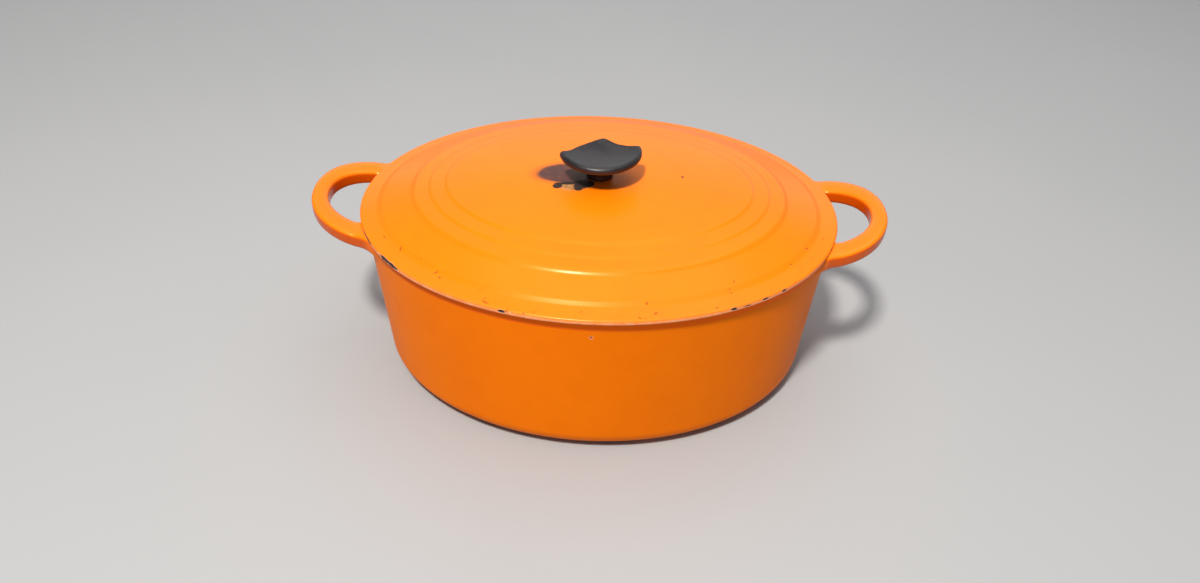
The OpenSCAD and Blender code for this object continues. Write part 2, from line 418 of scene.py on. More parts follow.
def pot_enamel():
    """Orange enamel with the few small chips and scratches of the pot's wall."""
    s = Shader("enamel_orange_pot")
    colour = flame_colour(s)
    height = glaze_relief(s)
    # The handles stand outside the wall's oval
    on_handle = s.band(s.oval_share(RIM_A, RIM_A - OVAL_SPREAD), 1.0, 1.04)
    # They are polished on top by use, and their sides and undersides are darkened to deeper orange as
    # painted shade
    deeper = s.band(s.split(s.normal)[2], 0.15, 0.75, 0.95, 0.0)
    colour = s.mix(s.math("MULTIPLY", on_handle, deeper), colour, FLAME_DEEP)
    rough = s.blend(on_handle, s.blend(s.noise(35, 4.0, 0.6), 0.34, 0.46), 0.24)
    # A painted shadow under the lid's lip: a darker, redder band round the wall
    painted_lip_shadow = s.band(s.axes[2], RIM_Z - 7.8 * MM, RIM_Z - 6.8 * MM)
    on_wall_only = s.band(s.math("ABSOLUTE", s.axes[1]), 48 * MM, 56 * MM)
    painted_lip_shadow = s.math("MULTIPLY", painted_lip_shadow, on_wall_only)
    colour = s.mix(s.math("MULTIPLY", painted_lip_shadow, 0.85), colour, LIP_SHADOW_RED)
    low = s.band(s.axes[2], 2 * MM, 11 * MM, 1.0, 0.0)
    scorch = s.math("MULTIPLY", low, s.band(s.noise(45, 5.0, 0.65), 0.42, 0.72))
    colour = s.mix(s.math("MULTIPLY", scorch, 0.55), colour, (0.20, 0.045, 0.008))
    foot = s.band(s.axes[2], 0.3 * MM, 5 * MM, 1.0, 0.0)
    colour = s.mix(s.math("MULTIPLY", foot, s.math("MULTIPLY", base_scorch(s), 0.8)), colour, SCORCHED)
    pits = s.band(s.cells(90), 0.035, 0.07, 1.0, 0.0)
    chosen = s.band(s.noise(30, 3.0, 0.5), 0.66, 0.70)
    specks = s.math("MULTIPLY", pits, chosen)
    colour = s.mix(specks, colour, RUST)
    torn = s.torn(0.5)
    coat = s.band(torn, 0.34, 0.42)
    iron = s.band(torn, 0.55, 0.63)
    colour = s.mix(s.math("MULTIPLY", coat, 0.32), colour, GROUND_COAT)
    colour = s.mix(s.math("MULTIPLY", iron, 0.7), colour, BARE_IRON)
    rough = s.blend(coat, rough, 0.6)
    loss = s.math("MAXIMUM", iron, specks)
    height = s.math("SUBTRACT", height, s.math("MULTIPLY", loss, 2.0))
    gloss = s.blend(on_handle, 0.03, 0.45)
    clear_coat = s.blend(on_handle, 0.0, 0.12)
    return s.finish(
        colour, rough, height, 0.12 * MM,
        Specular_IOR_Level=gloss, Coat_Weight=clear_coat, **POT_GLAZE,
    )


def base_enamel():
    """The underside: orange enamel scorched brown, worn to iron on the high spots."""
    s = Shader("enamel_orange_base")
    colour = flame_colour(s)
    scorch = base_scorch(s)
    colour = s.mix(s.math("MULTIPLY", scorch, 0.8), colour, SCORCHED)
    worn = s.band(s.noise(150, 5.0, 0.7), 0.60, 0.68)
    colour = s.mix(worn, colour, (0.05, 0.045, 0.045))
    hairs = scratches(s, 0.9, 0.02, 700, 0.66, 0.72)
    colour = s.mix(s.math("MULTIPLY", hairs, 0.6), colour, (0.30, 0.24, 0.20))
    rough = s.blend(scorch, 0.28, 0.55)
    height = s.math("SUBTRACT", glaze_relief(s), worn)
    return s.finish(colour, rough, height, 0.12 * MM, Coat_Weight=0.1, Coat_Roughness=0.2)


def cream_enamel():
    """The inside: cream enamel with tea-coloured staining low down and fine grey utensil marks."""
    s = Shader("enamel_cream")
    cloud = s.band(s.noise(26, 5.0, 0.6), 0.38, 0.74)
    colour = s.mix(s.math("MULTIPLY", cloud, 0.35), CREAM, (0.62, 0.45, 0.26))
    depth = s.band(s.axes[2], 4 * MM, 40 * MM, 1.0, 0.0)
    stain = s.math("MULTIPLY", depth, s.band(s.noise(16, 6.0, 0.65), 0.36, 0.70))
    colour = s.mix(s.math("MULTIPLY", stain, 0.6), colour, (0.36, 0.20, 0.09))
    one_way = scratches(s, 0.3, 0.02, 620, 0.68, 0.74)
    other_way = scratches(s, 1.7, 0.02, 560, 0.69, 0.75)
    marks = s.math("MAXIMUM", one_way, other_way)
    colour = s.mix(s.math("MULTIPLY", marks, 0.35), colour, (0.30, 0.28, 0.25))
    rough = s.blend(s.noise(50, 4.0, 0.6), 0.18, 0.34)
    return s.finish(colour, rough, glaze_relief(s), 0.12 * MM, Coat_Weight=0.3, Coat_Roughness=0.1)


def rim_black():
    """The matt black ground coat on the rims, rubbed to grey iron where lid and pot meet."""
    s = Shader("ground_coat_black")
    rubbed = s.band(s.noise(110, 5.0, 0.65), 0.50, 0.72)
    colour = s.mix(rubbed, (0.022, 0.020, 0.020), (0.14, 0.12, 0.11))
    rust = s.band(s.noise(180, 5.0, 0.7), 0.62, 0.72)
    colour = s.mix(s.math("MULTIPLY", rust, 0.7), colour, (0.20, 0.065, 0.02))
    rough = s.blend(rubbed, 0.72, 0.48)
    height = s.noise(900, 4.0, 0.6)
    return s.finish(colour, rough, height, 0.05 * MM)


def phenolic(broken):
    """Black moulded phenolic, satin where handled. broken gives the dull granular inside of the material."""
    s = Shader("phenolic_broken" if broken else "phenolic_satin")
    if broken:
        grain = s.noise(1400, 5.0, 0.75)
        colour = s.mix(s.band(grain, 0.35, 0.70), (0.020, 0.017, 0.017), (0.085, 0.060, 0.050))
        height = s.math("ADD", grain, s.noise(300, 4.0, 0.6))
        return s.finish(colour, 0.82, height, 0.20 * MM)
    bloom = s.band(s.noise(95, 5.0, 0.6), 0.38, 0.72)
    colour = s.mix(bloom, (0.012, 0.010, 0.011), (0.027, 0.023, 0.023))
    # The edge and the underside are painted reddish brown, as a painted reflection of the orange lid below
    # them
    lid_reflection_paint = s.band(s.split(s.normal)[2], 0.0, 0.8, 1.0, 0.0)
    colour = s.mix(lid_reflection_paint, colour, (0.030, 0.010, 0.009))
    dots = s.band(s.cells(330), 0.10, 0.20, 1.0, 0.0)
    flecks = s.math("MULTIPLY", dots, s.band(s.noise(120, 3.0, 0.5), 0.60, 0.68))
    colour = s.mix(s.math("MULTIPLY", flecks, 0.55), colour, (0.16, 0.07, 0.04))
    hairs = scratches(s, 1.1, 0.04, 1500, 0.66, 0.73)
    rough = s.blend(bloom, 0.27, 0.42)
    rough = s.blend(s.math("MULTIPLY", hairs, 0.5), rough, 0.6)
    height = s.math("ADD", s.noise(700, 3.0, 0.5), s.math("MULTIPLY", flecks, -1.5))
    return s.finish(colour, rough, height, 0.02 * MM, Specular_IOR_Level=0.35)


def turned_metal(name, colour, dull, grain):
    """Turned metal with fine lathe lines round Z and a little tarnish."""
    s = Shader(name)
    radius = s.length(s.axes[0], s.axes[1])
    lines = s.noise(grain, 2.0, 0.5, point=s.join(radius, 0.0, s.axes[2]))
    tarnish = s.band(s.noise(260, 5.0, 0.65), 0.40, 0.72)
    tone = s.mix(s.math("MULTIPLY", tarnish, 0.6), colour, dull)
    rough = s.blend(s.math("MULTIPLY_ADD", tarnish, 0.6, s.math("MULTIPLY", lines, 0.4)), 0.22, 0.55)
    return s.finish(tone, rough, lines, 0.01 * MM, Metallic=1.0)


def studio_floor():
    """A plain pale studio floor with a very faint mottle."""
    s = Shader("studio_floor")
    colour = s.mix(s.noise(3, 3.0, 0.5), (0.34, 0.34, 0.34), (0.37, 0.37, 0.365))
    return s.finish(colour, 0.75)


# ---------------------------------------------------------------- lid
LID_COLUMNS = 696
# Half-width of the lid's oval for each half-length, from the screw hole out to the edge
LID_OVALS = [
    (0, 0), (10.2, 10.2), (16, 11.15), (101.5, 70.7),
    (112.7, 81.8), (124.3, 94.0), (148.5, 114.2), (152, 117.0),
]
LID_OVAL_A = [a * MM for a, b in LID_OVALS] + [LID_A]
LID_OVAL_B = [b * MM for a, b in LID_OVALS] + [LID_B]
LID_WALL = 3.6 * MM
# The larger brown specks of the lid: place and half-length, in mm
LID_SPECKS = [
    (-134, -53, 1.2), (-121, -66, 1.8), (-95, -88, 1.4), (-92, -92, 1.0), (-62, -112, 2.4), (-49, -118, 1.5),
    (-39, -120, 1.3), (-33, -119, 0.8), (-6, -118, 0.7), (28, -120, 1.1), (37, -116, 1.2), (32, -110, 0.8),
    (73, -108, 0.8), (84, -88, 0.7), (133, -48, 1.3), (121, -65, 1.0), (135, -55, 0.8), (146, -34, 1.0),
]
LID_SAG = 4.9 * MM
RING_1_A = LID_A - 58.8 * MM
# Chips on the lid's lip: angle round the lid and half-length in degrees, height of the middle above
# the rim and half-height in mm, and how bare each is. The first twelve are on the front.
LIP_CHIPS = [
    (203.8, 5.0, 1.6, 1.2, 1.05), (212.4, 0.7, 2.2, 0.9, 0.5), (217.6, 4.3, 1.7, 1.6, 1.15),
    (230.6, 0.35, 0.8, 0.5, 0.5), (251.0, 1.0, 1.9, 1.1, 1.1), (252.9, 0.5, 2.2, 0.8, 0.5),
    (278.5, 0.8, 1.2, 0.6, 0.5), (301.3, 0.9, 1.8, 1.0, 1.05), (305.0, 1.4, 1.4, 0.6, 0.95),
    (310.0, 1.0, 1.8, 1.0, 1.05), (316.0, 0.9, 1.8, 1.1, 1.05), (340.4, 1.4, 1.6, 1.0, 1.0),
    (14.0, 1.0, 1.7, 0.9, 0.9), (38.0, 1.9, 1.4, 0.9, 0.95), (71.0, 0.8, 2.0, 0.8, 0.6),
    (96.0, 1.4, 1.6, 1.0, 0.95), (128.0, 0.9, 1.4, 0.7, 0.6), (149.0, 2.1, 1.6, 1.0, 1.0),
    (171.0, 1.1, 1.8, 0.9, 0.8),
]
CHIP_DEPTH = 0.3 * MM


def lid_dome(a):
    return CROWN_Z - LID_SAG * (a / RING_1_A) ** 2


def lid_path():
    """The lid's closed half-section along X, from the screw hole out over the top and back below."""

    def edge(inset, height, radius=0.0):
        return (LID_A - inset * MM, RIM_Z + height * MM, radius * MM)

    under_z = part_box("screw_washer")[1].z
    mid_hole = (HOLE_R, (SEAT_Z + under_z) / 2, 0)
    seat = rounded_path([mid_hole, (HOLE_R, SEAT_Z, 0.4 * MM), (10.4 * MM, SEAT_Z, 0)], line_step=2 * MM)
    dome_a = np.linspace(12.5 * MM, RING_1_A - 2.5 * MM, 14)
    dome = np.stack([dome_a, lid_dome(dome_a)], 1)
    outside = rounded_path([
        edge(61.5, 20.3), edge(58.6, 19.75, 2.4), edge(56.9, 18.8, 2.4),
        edge(47.8, 17.5, 2.4), edge(46.0, 16.5, 2.4), edge(36.8, 15.2, 5.0), edge(34.6, 13.4, 7.0),
        edge(14.8, 7.1, 4.5), edge(11.3, 5.08, 4.5), edge(5.0, 3.98),
    ], arc_step=0.6 * MM, line_step=4 * MM)
    lip = rounded_path([
        edge(5.0, 3.98), edge(0, 3.1, 1.5), edge(0, 0.1, 0.7), edge(2.2, 0),
    ], arc_step=0.25 * MM, line_step=0.9 * MM)
    below = rounded_path([
        edge(2.2, 0), edge(8.0, 0, 0.7), edge(8.0, -3.5, 1.0), edge(12.0, -3.5, 1.0), edge(12.0, 3.4, 3.0),
        edge(35.0, 9.9, 6.0), edge(47.0, 13.2, 6.0), edge(60.0, 16.2, 8.0), edge(63.0, 16.6),
    ], arc_step=1.2 * MM, line_step=8 * MM)
    low_a = np.linspace(RING_1_A - 8 * MM, 15 * MM, 8)
    low_dome = np.stack([low_a, lid_dome(low_a) - LID_WALL], 1)
    boss = rounded_path([(12 * MM, under_z, 0), (HOLE_R, under_z, 0.4 * MM), mid_hole], line_step=2 * MM)
    return np.concatenate([seat, dome, outside[1:], lip[1:], below[1:], low_dome, boss[:-1]])


def wear_noise(angle, seed, octaves):
    """Repeatable smooth noise round a circle, about -1 to 1."""
    draw = np.random.default_rng(seed)
    total = np.zeros_like(angle)
    for turns, size in octaves:
        for _ in range(3):
            total += size / 3 * np.sin(turns * draw.integers(3, 9) * angle + draw.uniform(0, 2 * math.pi))
    return total


def make_lid():
    path = lid_path()
    angle = np.arange(LID_COLUMNS) * 2 * math.pi / LID_COLUMNS
    half_length = path[:, 0][:, None]
    half_width = np.interp(path[:, 0], LID_OVAL_A, LID_OVAL_B)[:, None]
    height = np.repeat(path[:, 1][:, None], LID_COLUMNS, 1)

    # How far each vertex of the lip has lost its enamel, and the hollow that this leaves
    on_lip = np.clip((path[:, 0] - (LID_A - 3.2 * MM)) / (1.6 * MM), 0, 1)[:, None]
    lift = (path[:, 1] - RIM_Z)[:, None] / MM
    chip = np.zeros((len(path), LID_COLUMNS))
    degrees = np.degrees(angle)
    for k, (at, half, middle, half_height, bare) in enumerate(LIP_CHIPS):
        off = np.abs((degrees - at + 180) % 360 - 180) / half
        ragged = 0.3 * wear_noise(angle, k, [(9, 1.0), (30, 0.6), (90, 0.5)])
        tall = np.abs(lift - middle) / half_height
        chip = np.maximum(chip, bare * np.clip(1.25 - off[None, :] ** 2 - tall ** 2 + ragged[None, :], 0, 1))
    chip *= on_lip
    hollow = CHIP_DEPTH * np.clip((chip - 0.35) / 0.3, 0, 1)
    core_a, core_z = LID_A - 2.2 * MM, RIM_Z + 1.5 * MM
    inward = np.stack([core_a - path[:, 0], core_z - path[:, 1]], 1)
    inward /= np.maximum(np.linalg.norm(inward, axis=1), 1e-9)[:, None]
    reach = half_length + inward[:, 0][:, None] * hollow
    spread = half_width + inward[:, 0][:, None] * hollow
    height = height + inward[:, 1][:, None] * hollow

    points = np.stack([reach * np.cos(angle), spread * np.sin(angle), height], -1).reshape(-1, 3)
    rings = np.arange(len(points)).reshape(len(path), LID_COLUMNS)
    quads = ring_quads(rings, wrap=True).reshape(len(path), LID_COLUMNS, 4)
    middle_a = (path[:, 0] + np.roll(path[:, 0], -1)) / 2
    middle_z = (path[:, 1] + np.roll(path[:, 1], -1)) / 2
    lowest = int(np.argmax(path[:, 0] == path[:, 0].max()))
    after_edge = np.arange(len(path)) > lowest
    orange = ~after_edge | (middle_z > RIM_Z + 0.45 * MM) & (middle_a > LID_A - 2 * MM)
    black = ~orange & (middle_a > LID_A - 8.6 * MM) & (middle_z < RIM_Z + 0.6 * MM)
    groups = []
    for number, rows in enumerate((orange, black, ~orange & ~black)):
        groups.append((quads[rows].reshape(-1, 4), number))
    lid = build("lid_casting", points, groups, [lid_enamel(), rim_black(), cream_enamel()])
    store(lid, "chip", chip)
    return lid


# ---------------------------------------------------------------- pot
POT_COLUMNS = 456
# A handle loop: where its ovals are centred, then reach, half-width and squareness of each edge
LOOP_X = RIM_A - 8.7 * MM
LOOP_OUTER = (HANDLE_TIP - LOOP_X, 47.0 * MM, 2.16)
LOOP_INNER = (HANDLE_TIP - LOOP_X - 10.3 * MM, 31.3 * MM, 2.1)
LOOP_END = math.radians(82)
LOOP_SKEW = math.radians(10)
# The top of a loop where it leaves the wall, and how it climbs outwards
LOOP_TOP = RIM_Z - 1.5 * MM
LOOP_SLOPE = math.tan(math.radians(12.6))
LOOP_THICKNESS = 10.4 * MM
SECTION_POWER = 4.4
PATCH_ANGLES = (math.radians(7.2), math.radians(33.4))
PATCH_LOW_Z = 87 * MM
PATCH_RINGS = 6
FILLET_RINGS = 9
SWEEP_RINGS = 72
# Small chips on the front of the wall: x, height and half-size, in mm
POT_CHIPS = [(0.5, 104.5, 2.2), (-81.5, 57.0, 1.3)]


def wall_oval(z):
    """The outer wall's half-length and half-width at a height."""
    a = RIM_A - DRAFT * (1 - z / RIM_Z)
    return a, a - OVAL_SPREAD


def on_wall(angle, z):
    a, b = wall_oval(z)
    return np.stack([a * np.cos(angle), b * np.sin(angle), z], -1)


def half_loop(t):
    """Outer and inner edge of a handle's band at parameter t, from 0 at the tip to LOOP_END at the wall."""

    def edge(reach, width, power, at):
        cos, sin = math.cos(at), math.sin(at)
        return np.array([LOOP_X + reach * cos ** (2 / power), width * sin ** (2 / power)])

    skew = np.clip((t - 0.6 * LOOP_END) / (0.4 * LOOP_END), 0, 1)
    return edge(*LOOP_OUTER, t), edge(*LOOP_INNER, t - LOOP_SKEW * skew * skew * (3 - 2 * skew))


def loop_ring(t, phi):
    """One ring of the handle: its points for section angles phi, where 0 faces out and a quarter turn up."""
    side = 1 if t >= 0 else -1
    outer, inner = half_loop(abs(t))
    outer, inner = outer * (1, side), inner * (1, side)
    half_height = LOOP_THICKNESS / 2
    half_width = np.linalg.norm(outer - inner) / 2
    wide = np.abs(np.cos(phi) / half_width) ** SECTION_POWER
    tall = np.abs(np.sin(phi) / half_height) ** SECTION_POWER
    reach = (wide + tall) ** (-1 / SECTION_POWER)
    flat = (outer + inner) / 2 + np.outer(reach * np.cos(phi), unit(outer - inner))
    top = LOOP_TOP + LOOP_SLOPE * (flat[:, 0] - LOOP_X)
    return np.column_stack([flat, top - half_height + reach * np.sin(phi)])


def wall_hit(points, direction):
    """Where rays from points along a level direction meet the wall, as (angle, height)."""
    a, b = wall_oval(points[:, 2])
    px, py = points[:, 0] / a, points[:, 1] / b
    dx, dy = direction[0] / a, direction[1] / b
    qa, qb, qc = dx * dx + dy * dy, 2 * (px * dx + py * dy), px * px + py * py - 1
    run = (-qb - np.sqrt(qb * qb - 4 * qa * qc)) / (2 * qa)
    hit = points + np.outer(run, [*direction, 0])
    return np.arctan2(hit[:, 1] / b, hit[:, 0] / a), points[:, 2]


def fillet_reach(phi):
    """How far the handle's root spreads on the wall: wide below and at the sides, almost nothing on top."""
    low, high = np.clip(-np.sin(phi), 0, 1), np.clip(np.sin(phi), 0, 1)
    side = np.where(np.cos(phi) > 0, 12.0 * MM, 7.0 * MM)
    return side + (11.0 * MM - side) * low ** 2 - (side - 2.4 * MM) * high ** 1.2


def make_pot():
    base_a = RIM_A - DRAFT
    base = [(a, 0.0) for a in np.linspace(2 * MM, base_a - 1.3 * BASE_RADIUS, 16)]
    mouth = (RIM_A - WALL - 0.2 * MM, RIM_Z - 3.2 * MM, 0)
    shell = rounded_path([
        (base_a - 1.2 * BASE_RADIUS, 0, 0), (base_a, 0, BASE_RADIUS), (RIM_A, RIM_Z, 0.9 * MM),
        (RIM_A - WALL, RIM_Z, 1.2 * MM), mouth,
    ], arc_step=0.7 * MM, line_step=1.9 * MM)
    inner_base = RIM_A - WALL - DRAFT
    lining = rounded_path([
        mouth, (inner_base, FLOOR_Z, BASE_RADIUS - 2 * MM), (inner_base - 1.3 * BASE_RADIUS, FLOOR_Z, 0),
    ], arc_step=1.6 * MM, line_step=5 * MM)
    well = [(a, FLOOR_Z) for a in np.linspace(inner_base - 1.5 * BASE_RADIUS, 2 * MM, 14)]
    path = np.concatenate([np.array(base), shell, lining[1:], np.array(well)])
    core_a = 110 * MM
    half_width = np.interp(path[:, 0], [0, core_a, RIM_A], [0, core_a - OVAL_SPREAD, RIM_A - OVAL_SPREAD])
    angle = np.arange(POT_COLUMNS) * 2 * math.pi / POT_COLUMNS
    body = np.stack([np.outer(path[:, 0], np.cos(angle)), np.outer(half_width, np.sin(angle)),
                     np.repeat(path[:, 1][:, None], POT_COLUMNS, 1)], -1).reshape(-1, 3)
    rings = np.arange(len(body)).reshape(len(path), POT_COLUMNS)
    quads = ring_quads(rings).reshape(len(path) - 1, POT_COLUMNS, 4)
    points = [body, np.array([[0, 0, 0], [0, 0, FLOOR_Z]])]
    used = len(body) + 2
    poles = [fan(rings[0], len(body)), fan(rings[-1], len(body) + 1)]

    # The block of wall quads that each root of a handle opens
    straight = np.abs(path[:, 0] - wall_oval(path[:, 1])[0]) < 1e-7
    outside = np.arange(len(path)) < len(base) + len(shell)
    wall_rows = np.flatnonzero(straight & (path[:, 1] > PATCH_LOW_Z) & outside)
    row_0, row_1 = int(wall_rows[0]), int(wall_rows[-1])
    step = 2 * math.pi / POT_COLUMNS
    col_0, col_1 = round(PATCH_ANGLES[0] / step), round(PATCH_ANGLES[1] / step)
    loop = [(row_0, c) for c in range(col_0, col_1)] + [(r, col_1) for r in range(row_0, row_1)]
    loop += [(row_1, c) for c in range(col_1, col_0, -1)] + [(r, col_0) for r in range(row_1, row_0, -1)]
    loop = np.array(loop)
    loop_angle, loop_z = loop[:, 1] * step, path[loop[:, 0], 1]

    end_outer, end_inner = half_loop(LOOP_END)
    middle = (end_outer + end_inner) / 2
    near_outer, near_inner = half_loop(LOOP_END - 0.02)
    heading = unit(middle - (near_outer + near_inner) / 2)
    mid_z = LOOP_TOP + LOOP_SLOPE * (middle[0] - LOOP_X) - LOOP_THICKNESS / 2
    centre = wall_hit(np.array([[*middle, mid_z]]), heading)[0][0]
    a, b = wall_oval(mid_z)
    metre_per_angle = math.hypot(a * math.sin(centre), b * math.cos(centre))
    phi = np.arctan2(loop_z - mid_z, (loop_angle - centre) * metre_per_angle)
    first = loop_ring(LOOP_END, phi)
    hit_angle, hit_z = wall_hit(first, heading)
    hit = on_wall(hit_angle, hit_z)
    away = np.stack([(hit_angle - centre) * metre_per_angle, hit_z - mid_z], 1)
    away /= np.linalg.norm(away, axis=1)[:, None]
    reach = fillet_reach(phi)
    rim_limit = path[row_1, 1] - 0.12 * MM
    foot_angle = hit_angle + away[:, 0] * reach / metre_per_angle
    foot_z = np.minimum(hit_z + away[:, 1] * reach, rim_limit)
    foot = on_wall(foot_angle, foot_z)

    root = []
    for k in range(1, PATCH_RINGS + 1):
        share = k / PATCH_RINGS
        ring_angle = loop_angle + (foot_angle - loop_angle) * share
        root.append(on_wall(ring_angle, loop_z + (foot_z - loop_z) * share))
    from_wall, from_arm = foot + 0.6 * (hit - foot), first + 0.6 * (hit - first)
    for k in range(1, FILLET_RINGS):
        t = k / FILLET_RINGS
        near_foot = (1 - t) ** 3 * foot + 3 * t * (1 - t) ** 2 * from_wall
        near_arm = 3 * t * t * (1 - t) * from_arm + t ** 3 * first
        root.append(near_foot + near_arm)
    mirror = np.array([1, -1, 1])
    sweep = [loop_ring(t, phi) for t in np.linspace(LOOP_END, -LOOP_END, SWEEP_RINGS)]
    arm = np.stack(root + sweep + [ring * mirror for ring in reversed(root)])

    handle_quads = []
    opened = np.zeros((len(path) - 1, POT_COLUMNS), bool)
    for turn in (1, -1):
        offset = 0 if turn == 1 else POT_COLUMNS // 2
        points.append((arm * np.array([turn, turn, 1])).reshape(-1, 3))
        own = used + np.arange(arm.shape[0] * arm.shape[1]).reshape(arm.shape[:2])
        used += own.size
        near = rings[loop[:, 0], (loop[:, 1] + offset) % POT_COLUMNS]
        far = rings[loop[:, 0], (offset - loop[:, 1]) % POT_COLUMNS]
        handle_quads.append(ring_quads(np.concatenate([near[None], own, far[None]])))
        for low, high in ((col_0, col_1), (-col_1, -col_0)):
            opened[row_0:row_1, (np.arange(low, high) + offset) % POT_COLUMNS] = True

    middle_z = (path[:-1, 1] + path[1:, 1]) / 2
    middle_a = (path[:-1, 0] + path[1:, 0]) / 2
    rows = np.arange(len(path) - 1)
    top = int(np.argmax(path[:, 1] >= RIM_Z - 1e-9))
    is_base = (rows < top) & (middle_z < 0.25 * MM)
    is_rim = (middle_z > RIM_Z - 1.3 * MM) & ((rows >= top - 1) | (middle_a < RIM_A - 0.35 * MM))
    is_lining = (rows > top) & ~is_rim
    numbers = np.select([is_base, is_rim, is_lining], [1, 2, 3], 0)
    groups = [(quads[r][~opened[r]], int(numbers[r])) for r in rows]
    groups += [(np.concatenate(handle_quads), 0), (poles[0], 1), (poles[1], 3)]
    everything = np.concatenate(points)
    finishes = [pot_enamel(), base_enamel(), rim_black(), cream_enamel()]
    pot = build("pot_casting", everything, groups, finishes)

    chip = np.zeros(len(everything))
    for x, z, half in POT_CHIPS:
        away = np.hypot(everything[:, 0] - x * MM, everything[:, 2] - z * MM) / (half * MM)
        chip = np.maximum(chip, np.where(everything[:, 1] < 0, 0.72 * np.clip(1.3 - away, 0, 1), 0))
    store(pot, "chip", chip)
    return pot


# ---------------------------------------------------------------- knob
KNOB_COLUMNS = 720
DISC_R = 27 * MM
DISC_EDGE_R = 2.5 * MM
DISH = 2.6 * MM
STEM_R = 8.5 * MM
# The stepped hole in the stem that holds the brass bush
FLANGE_R = 6.22 * MM
FLANGE_DEPTH = 1.25 * MM
BORE_R = 4.77 * MM
BORE_DEPTH = 12.1 * MM
# Vertices closer than this, in metres, become one
MERGE = 1e-6
# The broken edge of the disc, seen from above, from its left corner round the back to its right
BREAK = [(-26.4, -6.2), (-20.5, -3.6), (-15.2, 4.0), (-9.8, 9.0), (-3.4, 14.0), (1.6, 16.7),
         (5.0, 14.2), (9.5, 10.3), (16.0, 7.2), (21.5, 5.8), (26.7, 5.2)]


def disc_top(r):
    """Height of the knob's upper surface above its seat."""
    flat = DISC_R - DISC_EDGE_R
    dish = KNOB_HEIGHT - DISH * (1 - np.clip(r / flat, 0, 1) ** 2)
    edge = KNOB_HEIGHT - DISC_EDGE_R + np.sqrt(np.clip(DISC_EDGE_R ** 2 - (r - flat) ** 2, 0, None))
    return np.where(r > flat, edge, dish)


def disc_under(r):
    """Height of the knob's lower surface: a trumpet from the stem to the disc's rounded edge."""
    flat = DISC_R - DISC_EDGE_R
    low, high = 5 * MM, KNOB_HEIGHT - 2 * DISC_EDGE_R
    share = np.clip((flat - r) / (flat - STEM_R), 0, 1)
    trumpet = low + (high - low) * np.sqrt(1 - share ** 2)
    edge = KNOB_HEIGHT - DISC_EDGE_R - np.sqrt(np.clip(DISC_EDGE_R ** 2 - (r - flat) ** 2, 0, None))
    return np.where(r > flat, edge, trumpet)


def disc_reach(angle):
    """The disc's radius at each angle: round where it is whole, and the broken edge elsewhere."""
    line = np.array(BREAK) * MM
    quarter = 0.75 * line[:-1] + 0.25 * line[1:]
    three = 0.25 * line[:-1] + 0.75 * line[1:]
    line = np.concatenate([line[:1], np.stack([quarter, three], 1).reshape(-1, 2), line[-1:]])
    share = np.linspace(0, 1, 40)[:, None]
    fine = np.concatenate([p + (q - p) * share for p, q in zip(line, line[1:])])
    bearing = np.unwrap(np.arctan2(fine[:, 1], fine[:, 0]))[::-1]
    length = np.hypot(fine[:, 0], fine[:, 1])[::-1]
    wrapped = (angle - bearing[0]) % (2 * math.pi) + bearing[0]
    broken = wrapped <= bearing[-1]
    jagged = 0.12 * MM * wear_noise(angle, 40, [(6, 1.0), (17, 0.4), (45, 0.12)])
    reach = np.interp(wrapped, bearing, length) + jagged
    return np.where(broken, np.minimum(reach, DISC_R), DISC_R)


